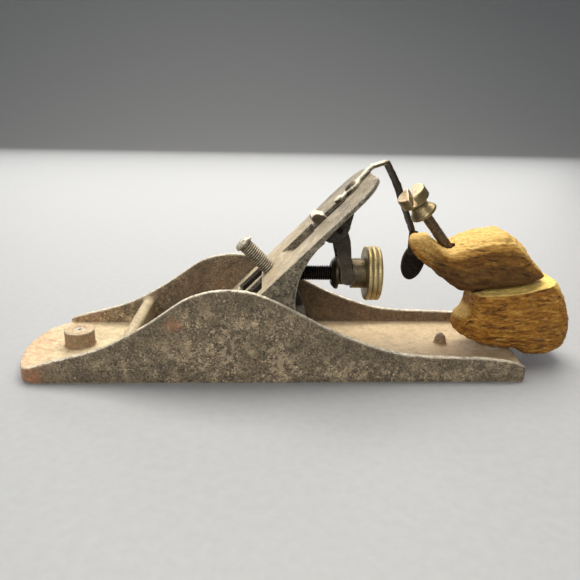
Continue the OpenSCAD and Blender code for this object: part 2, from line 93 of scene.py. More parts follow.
def make_light(name, size, power, place, target, colour):
    """A soft rectangular light at place, turned to target."""
    data = bpy.data.lights.new(name, "AREA")
    data.shape = "RECTANGLE"
    data.size, data.size_y = size
    data.energy = power
    data.color = colour
    lamp = bpy.data.objects.new(name, data)
    lamp.location = place
    lamp.rotation_euler = (Vector(target) - Vector(place)).to_track_quat("-Z", "Y").to_euler()
    bpy.context.collection.objects.link(lamp)


def make_stage():
    """A pale floor that curves up into a backdrop well behind the plane."""
    floor_z = cad_bounds[0].z
    half_width, reach, bend, height, steps = 2.2, 1.6, 0.5, 1.6, 12
    profile = [(-reach, 0.0), (reach - bend, 0.0)]
    for i in range(1, steps + 1):
        angle = math.pi / 2 * i / steps
        profile.append((reach - bend + bend * math.sin(angle), bend - bend * math.cos(angle)))
    profile.append((reach, height))
    vertices = [(x, y, floor_z + z) for y, z in profile for x in (-half_width, half_width)]
    faces = [(2 * i, 2 * i + 1, 2 * i + 3, 2 * i + 2) for i in range(len(profile) - 1)]
    mesh = bpy.data.meshes.new("floor")
    mesh.from_pydata(vertices, [], faces)
    mesh.polygons.foreach_set("use_smooth", [True] * len(faces))
    floor = bpy.data.objects.new("floor", mesh)
    bpy.context.collection.objects.link(floor)
    graph = Graph("floor_paint")
    darker, lighter = (0.335, 0.335, 0.33), (0.355, 0.355, 0.35)
    tone = graph.ramp(graph.noise(4, detail=2), [(0.3, darker), (0.7, lighter)])
    graph.finish(tone, roughness=0.55)
    mesh.materials.append(graph.material)


def make_world():
    world = bpy.data.worlds.new("studio")
    world.use_nodes = True
    background = world.node_tree.nodes["Background"]
    background.inputs["Color"].default_value = (0.80, 0.84, 0.90, 1)
    background.inputs["Strength"].default_value = 0.22
    bpy.context.scene.world = world
    bpy.context.scene.view_settings.view_transform = "Standard"


# ---- Shader graphs ----

class Graph:
    """A small helper that builds one procedural material. Noise sizes are in millimetres."""

    def __init__(self, name):
        self.material = bpy.data.materials.new(name)
        self.material.use_nodes = True
        self.nodes = self.material.node_tree.nodes
        self.links = self.material.node_tree.links
        self.shader = self.nodes["Principled BSDF"]
        self.place = self.nodes.new("ShaderNodeTexCoord").outputs["Object"]

    def set(self, socket, value):
        """Links a socket, or sets a number or a colour."""
        if isinstance(value, bpy.types.NodeSocket):
            self.links.new(value, socket)
        elif isinstance(value, tuple) and len(value) == 3 and socket.type == "RGBA":
            socket.default_value = (*value, 1)
        else:
            socket.default_value = value

    def add(self, kind, inputs=(), **settings):
        node = self.nodes.new(kind)
        for key, value in settings.items():
            setattr(node, key, value)
        for key, value in dict(inputs).items():
            self.set(node.inputs[key], value)
        return node

    def stretched(self, stretch, turn):
        """Object coordinates, squeezed so that a noise runs long along an axis with a stretch over 1."""
        scale = tuple(1 / s for s in stretch)
        node = self.add("ShaderNodeMapping", {"Vector": self.place, "Scale": scale, "Rotation": turn})
        return node.outputs["Vector"]

    def noise(self, size, detail=4, rough=0.55, place=None, distort=0.0):
        """Grey noise with features of about size. place can be stretched object coordinates."""
        inputs = {"Vector": place or self.place, "Scale": 1 / (size * MM), "Detail": detail,
                  "Roughness": rough, "Distortion": distort}
        return self.add("ShaderNodeTexNoise", inputs).outputs["Fac"]

    def cells(self, size, place=None):
        """The distance to the nearest of many scattered points."""
        inputs = {"Vector": place or self.place, "Scale": 1 / (size * MM)}
        return self.add("ShaderNodeTexVoronoi", inputs).outputs["Distance"]

    def painted(self, name):
        """A value from 0 to 1 that the mesh carries at its points."""
        return self.add("ShaderNodeAttribute", attribute_name=name).outputs["Fac"]

    def ramp(self, value, stops):
        """Colour or grey along a few (position, colour) stops."""
        node = self.add("ShaderNodeValToRGB", {"Fac": value})
        bar = node.color_ramp.elements
        while len(bar) < len(stops):
            bar.new(0.5)
        for stop, (position, colour) in zip(bar, stops):
            stop.position = position
            colour = colour if isinstance(colour, tuple) else (colour,) * 3
            stop.color = (*colour, 1)
        return node.outputs["Color"]

    def math(self, operation, a, b, clamp=False):
        node = self.nodes.new("ShaderNodeMath")
        node.operation = operation
        node.use_clamp = clamp
        self.set(node.inputs[0], a)
        self.set(node.inputs[1], b)
        return node.outputs[0]

    def times(self, a, b):
        return self.math("MULTIPLY", a, b)

    def mask(self, value, start, full):
        """0 up to start, 1 from full on, smooth between. It runs downwards where full is below start."""
        inputs = {"Value": value, "From Min": start, "From Max": full}
        node = self.add("ShaderNodeMapRange", inputs, interpolation_type="SMOOTHSTEP", clamp=True)
        return node.outputs["Result"]

    def patches(self, size, start, full, **settings):
        """A mask of noise: 1 in scattered patches, 0 between them."""
        return self.mask(self.noise(size, **settings), start, full)

    def mix(self, share, a, b):
        node = self.add("ShaderNodeMix", data_type="RGBA")
        self.set(node.inputs["Factor"], share)
        self.set([s for s in node.inputs if s.name == "A" and s.type == "RGBA"][0], a)
        self.set([s for s in node.inputs if s.name == "B" and s.type == "RGBA"][0], b)
        return [s for s in node.outputs if s.type == "RGBA"][0]

    def coat(self, base, mask, strength, colour):
        """Lays a colour over base where mask is high."""
        return self.mix(self.times(mask, strength), base, colour)

    def bump(self, height, depth, strength, normal=None):
        """Relief in the shading only. depth is in millimetres."""
        inputs = {"Height": height, "Distance": depth * MM, "Strength": strength}
        if normal:
            inputs["Normal"] = normal
        return self.add("ShaderNodeBump", inputs).outputs["Normal"]

    def finish(self, colour, roughness, metallic=0.0, normal=None, specular=0.5):
        for key, value in (("Base Color", colour), ("Roughness", roughness), ("Metallic", metallic),
                           ("Specular IOR Level", specular)):
            self.set(self.shader.inputs[key], value)
        if normal:
            self.links.new(normal, self.shader.inputs["Normal"])


def scaled(colour, factor):
    return tuple(channel * factor for channel in colour)


def iron_material(name, dark, mid, speck, edge, rust, top, speck_share=0.5):
    """Old cast iron: brown-grey skin with tan crust, pits, rust, bright worn edges and painted highlights, top
    faces dusty and lighter as painted top light, and darker corners with painted shade.
    """
    graph = Graph(name)
    skin = graph.mix(graph.patches(7, 0.36, 0.66, detail=5, rough=0.65), dark, mid)
    skin = graph.coat(skin, graph.patches(34, 0.45, 0.75, detail=3), 0.35, scaled(dark, 0.72))
    mottle = graph.noise(0.9, detail=5, rough=0.8)
    skin = graph.coat(skin, graph.mask(mottle, 0.50, 0.42), 0.75, scaled(dark, 0.40))
    skin = graph.coat(skin, graph.mask(mottle, 0.52, 0.64), 0.30, scaled(mid, 1.6))
    # tan crust and pale specks, thick where the mesh says that the skin is corroded
    drift = graph.patches(9, 0.40, 0.62, detail=5, rough=0.65)
    level = graph.times(graph.painted("corroded"), graph.math("ADD", graph.times(drift, 0.85), 0.25))
    level = graph.math("ADD", graph.times(level, 1.3), speck_share * 0.14, clamp=True)
    tan = tuple(0.65 * pale + 0.35 * brown for pale, brown in zip(speck, mid))
    crust = graph.times(graph.patches(3.2, 0.48, 0.56, detail=6, rough=0.85), level)
    skin = graph.coat(skin, crust, 0.90, tan)
    fine = graph.noise(0.9, detail=3, rough=0.65)
    grit = graph.noise(2.0, detail=5, rough=0.75, distort=0.6)
    skin = graph.coat(skin, graph.mask(fine, 0.42, 0.30), 0.45, scaled(dark, 0.45))
    specks = graph.times(graph.mask(grit, 0.47, 0.60), graph.mask(fine, 0.45, 0.57))
    skin = graph.coat(skin, specks, level, speck)
    skin = graph.coat(skin, graph.mask(graph.cells(3.4), 0.12, 0.05), 0.6, scaled(speck, 1.3))
    pits = graph.patches(1.3, 0.60, 0.70, detail=3, rough=0.6)
    skin = graph.coat(skin, pits, 0.60, scaled(dark, 0.35))
    # rust, in drifts
    rusty = graph.times(graph.painted("rusty"), graph.patches(2.6, 0.34, 0.62, detail=5, rough=0.7))
    skin = graph.mix(rusty, skin, rust)
    # the floor and other top faces are tan: dusty, and lighter as painted top light
    top_light_and_dust = graph.painted("top_light_and_dust")
    lit_dust = graph.mix(graph.patches(5, 0.42, 0.72, detail=5, rough=0.7), top, scaled(top, 0.66))
    grains = graph.patches(1.0, 0.54, 0.66, detail=4, rough=0.75)
    lit_dust = graph.coat(lit_dust, grains, 0.65, scaled(top, 0.42))
    skin = graph.mix(top_light_and_dust, skin, lit_dust)
    skin = graph.coat(skin, rusty, graph.times(top_light_and_dust, 0.55), rust)
    # darker corners and painted shade, then worn edges and painted highlights in the edge colour
    skin = graph.coat(skin, graph.painted("cavity"), 0.9, scaled(dark, 0.3))
    worn = graph.times(graph.painted("wear_and_highlight"), graph.patches(2.2, 0.32, 0.56, detail=5, rough=0.8))
    skin = graph.mix(worn, skin, edge)
    rough = graph.ramp(graph.noise(3, detail=4), [(0.3, 0.50), (0.7, 0.74)])
    rough = graph.mix(worn, rough, (0.34, 0.34, 0.34))
    shine = graph.mix(worn, (0.08, 0.08, 0.08), (0.45, 0.45, 0.45))
    shine = graph.mix(rusty, shine, (0.05, 0.05, 0.05))
    normal = graph.bump(mottle, 0.26, 0.9)
    normal = graph.bump(graph.mask(grit, 0.40, 0.62), 0.26, 0.8, normal)
    normal = graph.bump(graph.math("SUBTRACT", 1.0, pits), 0.30, 0.9, normal)
    graph.finish(skin, rough, shine, normal)
    return graph.material


def steel_material(name, dark, light, rust, rust_share=0.4):
    """Small steel pieces: dark patina, rust freckles, bright metal where hands and tools rub, and painted
    highlights on lit top faces.
    """
    graph = Graph(name)
    skin = graph.mix(graph.patches(2.4, 0.36, 0.66, detail=5, rough=0.65), dark, scaled(dark, 1.7))
    freckle = graph.times(graph.patches(0.9, 0.50, 0.66, detail=5, rough=0.7), rust_share)
    skin = graph.mix(freckle, skin, rust)
    worn = graph.times(graph.painted("wear_and_highlight"), graph.patches(1.2, 0.28, 0.55, detail=4, rough=0.7))
    skin = graph.mix(worn, skin, light)
    skin = graph.coat(skin, graph.painted("cavity"), 0.8, scaled(dark, 0.3))
    roughness = graph.ramp(graph.noise(1.5, detail=4), [(0.3, 0.38), (0.7, 0.62)])
    shine = graph.mix(freckle, (0.75, 0.75, 0.75), (0.1, 0.1, 0.1))
    normal = graph.bump(graph.noise(0.4, detail=4, rough=0.7), 0.06, 0.8)
    normal = graph.bump(graph.noise(1.6, detail=4, rough=0.7), 0.10, 0.6, normal)
    graph.finish(skin, roughness, shine, normal)
    return graph.material


def brass_material(name, bright, dull, stain):
    """Tarnished brass: olive-brown skin, brighter on worn edges and with painted highlights on lit top faces, dark
    in the grooves and where shade is painted.
    """
    graph = Graph(name)
    skin = graph.mix(graph.patches(4, 0.36, 0.64, detail=5, rough=0.65), dull, scaled(dull, 1.45))
    skin = graph.coat(skin, graph.patches(1.4, 0.52, 0.70, detail=5, rough=0.75), 0.6, stain)
    worn = graph.times(graph.painted("wear_and_highlight"), graph.patches(1.6, 0.25, 0.55, detail=4, rough=0.7))
    skin = graph.mix(worn, skin, bright)
    skin = graph.coat(skin, graph.painted("cavity"), 0.85, scaled(dull, 0.22))
    verdigris = (0.16, 0.24, 0.15)
    skin = graph.coat(skin, graph.patches(2.2, 0.62, 0.74, detail=4), 0.30, verdigris)
    roughness = graph.ramp(graph.noise(1.2, detail=5), [(0.3, 0.30), (0.7, 0.56)])
    normal = graph.bump(graph.noise(0.5, detail=4, rough=0.7), 0.05, 0.8)
    normal = graph.bump(graph.noise(1.8, detail=3), 0.06, 0.6, normal)
    graph.finish(skin, roughness, 0.85, normal)
    return graph.material


def wood_material(name):
    """Bare, weathered hardwood: ochre ridges, dark open grain, top faces paler as painted top light, and painted
    shade on the sides.
    """
    graph = Graph(name)
    tilt = (0, math.radians(-6), 0)
    figure = graph.noise(2.2, detail=6, rough=0.72, place=graph.stretched((4.5, 1, 1), tilt), distort=0.8)
    base = graph.ramp(figure, [(0.30, (0.100, 0.030, 0.003)), (0.43, (0.275, 0.103, 0.011)),
                               (0.54, (0.44, 0.190, 0.022)), (0.70, (0.68, 0.350, 0.060))])
    fibre = graph.noise(0.7, detail=5, rough=0.75, place=graph.stretched((3.5, 1, 1), tilt))
    base = graph.coat(base, graph.mask(fibre, 0.50, 0.62), 0.60, (0.075, 0.024, 0.004))
    base = graph.coat(base, graph.painted("groove"), 0.80, (0.055, 0.018, 0.003))
    base = graph.coat(base, graph.painted("ridge"), 0.50, (0.74, 0.41, 0.080))
    brown = graph.patches(13, 0.48, 0.72, detail=4, rough=0.6)
    base = graph.coat(base, brown, 0.25, (0.40, 0.20, 0.045))
    # painted top light: lit top faces and the front end are pale
    pale = graph.ramp(fibre, [(0.40, (0.97, 0.66, 0.22)), (0.62, (0.66, 0.37, 0.08))])
    base = graph.coat(base, graph.painted("top_light_and_dust"), 0.85, pale)
    base = graph.coat(base, graph.painted("fresh"), 0.9, (1.0, 0.72, 0.19))
    base = graph.coat(base, graph.painted("wear_and_highlight"), 0.45, (0.80, 0.52, 0.18))
    base = graph.coat(base, graph.painted("cavity"), 0.6, (0.045, 0.016, 0.004))
    # painted shade on the sides and underside
    base = graph.coat(base, graph.painted("side_shade"), 0.80, (0.050, 0.020, 0.005))
    knots = graph.mask(graph.cells(9, place=graph.stretched((2.2, 1, 1), tilt)), 0.13, 0.04)
    base = graph.coat(base, knots, 0.5, (0.10, 0.04, 0.012))
    normal = graph.bump(fibre, 0.35, 0.95)
    normal = graph.bump(figure, 0.55, 0.9, normal)
    graph.finish(base, graph.ramp(figure, [(0.3, 0.82), (0.7, 0.62)]), 0.0, normal, specular=0.3)
    return graph.material


# ---- Repeatable noise on mesh points ----

OCTAVE_SHARE = 0.55
OCTAVE_SEEDS = 31
LATTICE_OFFSET = 1000.5
HASH_PRIMES = (73856093, 19349663, 83492791, 2654435761)
HASH_ROUNDS = ((13, 1274126177), (15, 668265263))


def step(value, start, full):
    """0 up to start, 1 from full on, smooth between. It runs downwards where full is below start."""
    share = np.clip((value - start) / (full - start), 0, 1)
    return share * share * (3 - 2 * share)


def lattice(cell, seed):
    """One repeatable value from 0 to 1 for each whole-number cell, hashed from its numbers and the seed."""
    mixed = seed * HASH_PRIMES[3]
    for axis in range(3):
        mixed = mixed ^ (cell[:, axis] * HASH_PRIMES[axis])
    for shift, factor in HASH_ROUNDS:
        mixed = (mixed ^ (mixed >> shift)) * factor & 0x7FFFFFFF
    return ((mixed >> 7) & 0xFFFFF) / 0xFFFFF


def noise(points, size, seed, octaves=1):
    """Smooth noise from -1 to 1 at each point. size is in millimetres, for all axes or for each."""
    total, weight, share = np.zeros(len(points)), 0.0, 1.0
    size = np.broadcast_to(np.array(size, float) * MM, (3,))
    for octave in range(octaves):
        place = points / size * 2 ** octave + LATTICE_OFFSET
        cell = np.floor(place).astype(np.int64)
        far = step(place - cell, 0, 1)
        value = np.zeros(len(points))
        for corner in product((0, 1), repeat=3):
            near = np.prod(np.where(corner, far, 1 - far), axis=1)
            value += near * lattice(cell + corner, seed + OCTAVE_SEEDS * octave)
        total += share * (2 * value - 1)
        weight += share
        share *= OCTAVE_SHARE
    return total / weight


def blob(points, centre, radii):
    """1 at the centre, falling to 0 over the radii, in millimetres."""
    off = (points - np.array(centre) * MM) / (np.array(radii) * MM)
    return np.exp(-(off ** 2).sum(1))


def with_blobs(level, points, blobs):
    """level with a blob added for each (strength, centre, radii)."""
    for strength, centre, radii in blobs:
        level = level + strength * blob(points, centre, radii)
    return level


# ---- Mesh work ----

def points_of(mesh):
    place = np.empty(len(mesh.vertices) * 3, np.float32)
    mesh.vertices.foreach_get("co", place)
    return place.reshape(-1, 3).astype(float)


def normals_of(mesh):
    normal = np.empty(len(mesh.vertices) * 3, np.float32)
    mesh.vertex_normals.foreach_get("vector", normal)
    return normal.reshape(-1, 3).astype(float)


def set_points(mesh, points):
    mesh.vertices.foreach_set("co", points.astype(np.float32).ravel())
    mesh.update()


def edges_of(mesh):
    ends = np.empty(len(mesh.edges) * 2, np.int32)
    mesh.edges.foreach_get("vertices", ends)
    return ends.reshape(-1, 2)


def spread(values, ends, times=1):
    """Each point's value averaged with its neighbours'."""
    count = np.bincount(ends.ravel(), minlength=len(values)).astype(float)
    for _ in range(times):
        around = np.bincount(ends[:, 0], values[ends[:, 1]], len(values))
        around += np.bincount(ends[:, 1], values[ends[:, 0]], len(values))
        values = 0.5 * values + 0.5 * around / np.maximum(count, 1)
    return values


def roundness(points, normals, ends):
    """How convex a mesh is at each point: above 0 on an edge, below 0 in a corner."""
    along = points[ends[:, 1]] - points[ends[:, 0]]
    length = np.maximum(np.linalg.norm(along, axis=1), 1e-9)
    bend = np.bincount(ends[:, 0], -(normals[ends[:, 0]] * along).sum(1) / length, len(points))
    bend += np.bincount(ends[:, 1], (normals[ends[:, 1]] * along).sum(1) / length, len(points))
    return bend / np.maximum(np.bincount(ends.ravel(), minlength=len(points)), 1)


def soften(mesh, share, times):
    """Rounds the mesh off where share, from 0 to 1 at each point, is high."""
    points, ends = points_of(mesh), edges_of(mesh)
    for _ in range(times):
        eased = np.stack([spread(points[:, i], ends) for i in range(3)], axis=1)
        points += (eased - points) * share[:, None]
    set_points(mesh, points)


def paint(mesh, name, values):
    """Keeps a value from 0 to 1 for each point, which the material reads by its name."""
    layer = mesh.attributes.get(name) or mesh.attributes.new(name, "FLOAT", "POINT")
    layer.data.foreach_set("value", np.clip(values, 0, 1).astype(np.float32))


def settle(piece):
    """Makes the modifiers' result the piece's own mesh."""
    evaluated = piece.evaluated_get(bpy.context.evaluated_depsgraph_get())
    mesh = bpy.data.meshes.new_from_object(evaluated)
    piece.modifiers.clear()
    piece.data = mesh
    mesh.name = piece.name


def remesh(piece, voxel, smooth_times):
    """Rebuilds the piece as one even closed mesh and rounds its edges. voxel is in millimetres."""
    grid = piece.modifiers.new("grid", "REMESH")
    grid.mode = "VOXEL"
    grid.voxel_size = voxel * MM
    grid.use_smooth_shade = True
    easing = piece.modifiers.new("easing", "SMOOTH")
    easing.iterations = smooth_times
    settle(piece)


def from_node(node, name):
    """A new piece that starts as a copy of a CAD node's mesh, rides on its body and stands for it."""
    mesh = frame["nodes"][node].data.copy()
    mesh.materials.clear()
    piece = bpy.data.objects.new(name, mesh)
    bpy.context.collection.objects.link(piece)
    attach(piece, BODY_OF[node])
    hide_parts(node)
    return piece


def finish_piece(piece, material, wear_and_highlight=(0.05, 0.16), cavity=(0.05, 0.16), blur=1, lit_and_rubbed=0.0):
    """Paints the worn edges with painted highlights, and the darker corners, from the shape, and gives the piece
    its material.

    The two pairs give the roundness at which the edge paint and the corner paint start and are full. The last
    argument adds to the edge paint: painted highlight on lit top faces, and rubbing.
    """
    mesh = piece.data
    points, normals, ends = points_of(mesh), normals_of(mesh), edges_of(mesh)
    bend = spread(roundness(points, normals, ends), ends, blur)
    paint(mesh, "wear_and_highlight", np.maximum(step(bend, *wear_and_highlight), lit_and_rubbed))
    paint(mesh, "cavity", step(-bend, *cavity))
    mesh.materials.clear()
    mesh.materials.append(material)
    mesh.polygons.foreach_set("use_smooth", [True] * len(mesh.polygons))


def painted(mesh, name):
    values = np.empty(len(mesh.vertices), np.float32)
    mesh.attributes[name].data.foreach_get("value", values)
    return values


def darken(mesh, share):
    """Paints shade where share is high: darker, and without the light edge paint."""
    paint(mesh, "wear_and_highlight", painted(mesh, "wear_and_highlight") * (1 - share))
    paint(mesh, "cavity", np.maximum(painted(mesh, "cavity"), share))


def swell(piece, move):
    """Moves each point along its normal by move(points, normals), in metres."""
    mesh = piece.data
    points, normals = points_of(mesh), normals_of(mesh)
    set_points(mesh, points + normals * move(points, normals)[:, None])


def roughen(piece, depth, size, seed):
    """Makes the skin slightly uneven. depth and size are in millimetres."""
    swell(piece, lambda points, normals: depth * MM * noise(points, size, seed, octaves=3))


def simple_metal(node, name, material, voxel=0.25, depth=0.03, seed=0):
    """A small metal piece: its CAD shape with rounded edges and a slightly uneven skin."""
    piece = from_node(node, name)
    remesh(piece, voxel, 2)
    roughen(piece, depth, 1.4, seed)
    finish_piece(piece, material)
    return piece


def cut_thread(piece, origin, axis, span, radius, pitch, depth, left_hand=False):
    """Presses a helical thread into a round shank.

    span is (from, to) along the axis from origin. It, radius, pitch and depth are in millimetres.
    """
    start, end, radius, pitch, depth = (value * MM for value in (*span, radius, pitch, depth))
    reach, run_out, raggedness = 0.25 * MM, 0.6 * pitch, 0.25
    mesh = piece.data
    points = points_of(mesh)
    axis = np.array(axis) / np.linalg.norm(axis)
    side = np.cross(axis, (0.0, 1.0, 0.0) if abs(axis[1]) < 0.8 else (1.0, 0.0, 0.0))
    side /= np.linalg.norm(side)
    third = np.cross(axis, side)
    off = points - np.array(origin)
    height = off @ axis
    out = off - height[:, None] * axis
    distance = np.linalg.norm(out, axis=1)
    angle = np.arctan2(out @ third, out @ side) * (-1 if left_hand else 1)
    phase = (height / pitch - angle / (2 * math.pi)) % 1.0
    groove = 1 - np.abs(2 * phase - 1)
    inside = (height > start) & (height < end) & (np.abs(distance - radius) < reach)
    near_end = np.clip(np.minimum(height - start, end - height) / run_out, 0, 1)
    ragged = 1 + raggedness * noise(points, 1.0, 71)
    pressed = np.where(inside, depth * step(groove, 0.15, 0.95) * near_end * ragged, 0)
    set_points(mesh, points - out / np.maximum(distance, 1e-9)[:, None] * pressed[:, None])


# ---- Materials ----

IRON = iron_material("old_cast_iron", dark=(0.150, 0.113, 0.068), mid=(0.260, 0.192, 0.108),
                     speck=(0.72, 0.54, 0.33), edge=(0.90, 0.80, 0.61), rust=(0.58, 0.24, 0.10),
                     top=(0.80, 0.64, 0.385))
FROG_IRON = iron_material("frog_cast_iron", dark=(0.100, 0.080, 0.050), mid=(0.21, 0.166, 0.104),
                          speck=(0.52, 0.43, 0.28), edge=(0.95, 0.90, 0.76), rust=(0.50, 0.30, 0.13),
                          top=(0.66, 0.53, 0.34), speck_share=0.35)
DARK_STEEL = steel_material("dark_steel", dark=(0.006, 0.004, 0.003), light=(0.085, 0.065, 0.045),
                            rust=(0.022, 0.010, 0.006))
YOKE_IRON = steel_material("yoke_iron", dark=(0.080, 0.063, 0.042), light=(0.66, 0.60, 0.44),
                           rust=(0.16, 0.085, 0.040))
LEVER_STEEL = steel_material("lever_steel", dark=(0.060, 0.046, 0.030), light=(0.80, 0.73, 0.55),
                             rust=(0.18, 0.09, 0.04), rust_share=0.8)
THUMB_STEEL = steel_material("thumb_steel", dark=(0.010, 0.006, 0.003), light=(0.10, 0.066, 0.038),
                             rust=(0.036, 0.016, 0.007), rust_share=0.6)
SCREW_STEEL = steel_material("screw_steel", dark=(0.14, 0.112, 0.072), light=(0.86, 0.80, 0.62),
                             rust=(0.24, 0.13, 0.055), rust_share=0.5)
ROD_STEEL = steel_material("rod_steel", dark=(0.085, 0.060, 0.034), light=(0.62, 0.52, 0.36),
                           rust=(0.26, 0.12, 0.045), rust_share=0.8)
WHEEL_BRASS = brass_material("wheel_brass", bright=(0.86, 0.69, 0.36), dull=(0.42, 0.315, 0.145),
                             stain=(0.11, 0.078, 0.035))
# a much darker copy of the wheel's brass: painted shade under the frog
SHADED_BRASS = brass_material("shaded_collar_brass", bright=(0.46, 0.37, 0.22), dull=(0.130, 0.098, 0.055),
                              stain=(0.035, 0.024, 0.013))
NUT_BRASS = brass_material("nut_brass", bright=(0.88, 0.66, 0.42), dull=(0.22, 0.165, 0.078),
                           stain=(0.07, 0.048, 0.022))
WOOD = wood_material("weathered_wood")


# ---- Body casting and frog ----

# in millimetres: the near cheek's outer face, the locating nib, and the radius of the cheek's floral stains
NEAR = round(cad_bounds[0].y / MM, 2)
NIB_X, FLORET = 82.7, 4.8


def cast_body(points, normals):
    """Sand-cast unevenness and pits, none of them on the flat sole, and the near cheek's gouge and flakes."""
    machined = step(-normals[:, 2], 0.7, 0.95)
    wavy = 0.10 * noise(points, 16, 3, octaves=2) + 0.07 * noise(points, 3.2, 5, octaves=3)
    pits = -0.30 * step(noise(points, 3.4, 9, octaves=3), 0.52, 0.80)
    ragged = step(noise(points, 2.2, 12, octaves=2), -0.1, 0.35)
    gouge = blob(points, (-42, NEAR, 27.6), (6, 3, 2.2)) * ragged
    flaky = blob(points, (-12, NEAR, 7), (34, 3, 12)) + blob(points, (-38, NEAR, 13), (14, 3, 12))
    flakes = flaky * step(noise(points, (3.4, 9, 2.0), 14, octaves=3), -0.1, 0.3)
    return (wavy + pits - 0.9 * gouge - 0.22 * flakes) * MM * (1 - machined)


def make_body():
    piece = from_node("body_casting", "body")
    remesh(piece, 0.8, 2)
    swell(piece, cast_body)
    mesh = piece.data
    points, normals = points_of(mesh), normals_of(mesh)
    x, y, z = points.T / MM
    toe_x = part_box("body_casting")[0].x / MM
    facing_up = normals[:, 2]
    inside = step(np.abs(y), 28.4, 27.0)
    knob = MOUNTS["knob_boss"]
    boss_radius = knob["dims"]["r_mm"]
    from_stud = np.hypot(x - knob["pos_m"][0] / MM, y)
    on_boss = step(from_stud, boss_radius + 0.65, boss_radius - 0.15)

    # top faces: dusty, and lighter as painted top light
    nib = step(np.hypot(x - NIB_X, y), 4.6, 3.6) * step(z, 6, 7)
    floor = inside * step(facing_up, 0.45, 0.85) * step(z, 15, 12) * (1 - nib) * (1 - 0.25 * step(x, 10, 40))
    toe = step(x, toe_x + 13, toe_x + 9) * step(facing_up, 0.1, 0.7)
    boss = on_boss * (0.15 + 0.45 * step(facing_up, 0.2, 0.8)) * step(z, 5.5, 7)
    rib = 0.6 * inside * step(z, 7, 10) * step(facing_up, 0.0, 0.5) * step(x, -70, -68) * step(x, -60, -62)
    paint(mesh, "top_light_and_dust", np.maximum.reduce([floor, toe, rib, boss]))

    # corroded skin, mostly on the near cheek, with two flower-like stains there
    corroded = with_blobs(0.12, points, (
        (1.0, (-10, NEAR, 6), (34, 30, 12)), (0.9, (-38, NEAR, 13), (14, 30, 12)),
        (0.6, (-20, NEAR, 26), (34, 30, 10)), (0.6, (62, NEAR, 5), (60, 30, 7)),
        (0.3, (-78, NEAR, 7), (20, 30, 6)), (1.2, (-56, 28, 30), (10, 6, 7)),
        (0.8, (-90, 28, 8), (26, 5, 8))))
    for centre_x, centre_z in ((-24.6, 20.8), (-13.8, 18.2)):
        off_ring = np.abs(np.hypot(x - centre_x, z - centre_z) - FLORET)
        corroded += 0.9 * step(off_ring, 1.2, 0.3) - 0.5 * step(off_ring - FLORET, -1.2, -2.4)
    paint(mesh, "corroded", corroded)

    # rust, mostly at the toe and on the boss
    rusty = 0.30 * step(x, 0, 40) * inside + 0.5 * on_boss * step(z, 11, 13)
    paint(mesh, "rusty", with_blobs(rusty, points, (
        (0.9, (-117, -8, 3), (5, 30, 6)), (0.9, (-108, -30, 4), (5, 5, 8)),
        (0.9, (-110, -8, 6), (9, 24, 8)), (0.7, (-94, 0, 8), (8, 8, 4)),
        (0.45, (84, -10, 6), (12, 8, 5)), (0.25, (-30, 27, 26), (26, 5, 12)),
        (0.35, (-98, 28, 8), (14, 4, 6)), (0.8, (-43, NEAR, 27.8), (4, 3, 2.2)))))

    # the cheeks' top faces get the light edge colour: painted top light, with worn metal
    lit_crest = step(facing_up, 0.40, 0.75) * (1 - inside) * (0.82 + 0.30 * noise(points, 5, 15, octaves=2))
    finish_piece(piece, IRON, wear_and_highlight=(0.10, 0.22), cavity=(0.10, 0.26), blur=2, lit_and_rubbed=lit_crest)
    # painted shade on the far cheek's inner wall
    far_side = step(y, 26, 27.2) * step(-normals[:, 1], 0.5, 0.9) * step(z, 5, 7)
    darken(mesh, 0.35 * far_side * (step(x, -10, 10) + step(np.abs(x + 45), 16, 10)))


def make_frog():
    piece = from_node("frog_casting", "frog")
    remesh(piece, 0.5, 2)
    joint = JOINTS["lateral_swing"]
    axis = Vector(joint["axis"]).normalized()
    out = np.array(axis)
    rivet_over_bed = 1 * MM
    bed_level = Vector(joint["pos_m"]).dot(axis) - rivet_over_bed
    washers = [sum(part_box(f"frog_washer_{side}"), Vector()) / 2 / MM for side in ("left", "right")]

    def cast_frog(points, normals):
        """Sand-cast unevenness, little of it on the bed and none where the washers sit."""
        kept = 0.75 * step(normals @ out, 0.8, 0.97)
        for washer in washers:
            kept = np.maximum(kept, step(blob(points, washer, (9, 9, 9)), 0.2, 0.5))
        wavy = 0.10 * noise(points, 9, 21, octaves=2) + 0.05 * noise(points, 2.2, 23, octaves=3)
        pits = -0.22 * step(noise(points, 2.8, 27, octaves=3), 0.5, 0.8)
        return (wavy + pits) * MM * (1 - kept)

    swell(piece, cast_frog)
    mesh = piece.data
    points, normals = points_of(mesh), normals_of(mesh)
    # the bed's face is lighter and dusty, painted top light, less of it higher up
    face = step(normals @ out, 0.75, 0.95)
    climb = step(points[:, 2] / MM, 48, 78)
    paint(mesh, "top_light_and_dust", face * (0.92 - 0.65 * climb + 0.40 * noise(points, 5, 31, octaves=3)))
    paint(mesh, "corroded", 0.55 + 0.4 * noise(points, 14, 33, octaves=2))
    by_screw = blob(points, (-2, 0, 46), (10, 16, 10))
    paint(mesh, "rusty", 0.70 * by_screw * face + 0.30 * blob(points, (14, -24, 22), (10, 6, 12)))
    finish_piece(piece, FROG_IRON, wear_and_highlight=(0.08, 0.20), cavity=(0.08, 0.22), blur=2)
    # painted shade on the sides behind the bed's face
    over_bed = (points @ out - bed_level) / MM
    behind_bed = step(over_bed, -2.2, -4.5) * step(np.abs(points[:, 1]) / MM, 25.2, 24.2)
    darken(mesh, 0.9 * behind_bed)


# ---- Screws, yoke and lever ----

# pitch of the adjusting thread and of the lever cap screw's, in millimetres
PITCH = 1.06


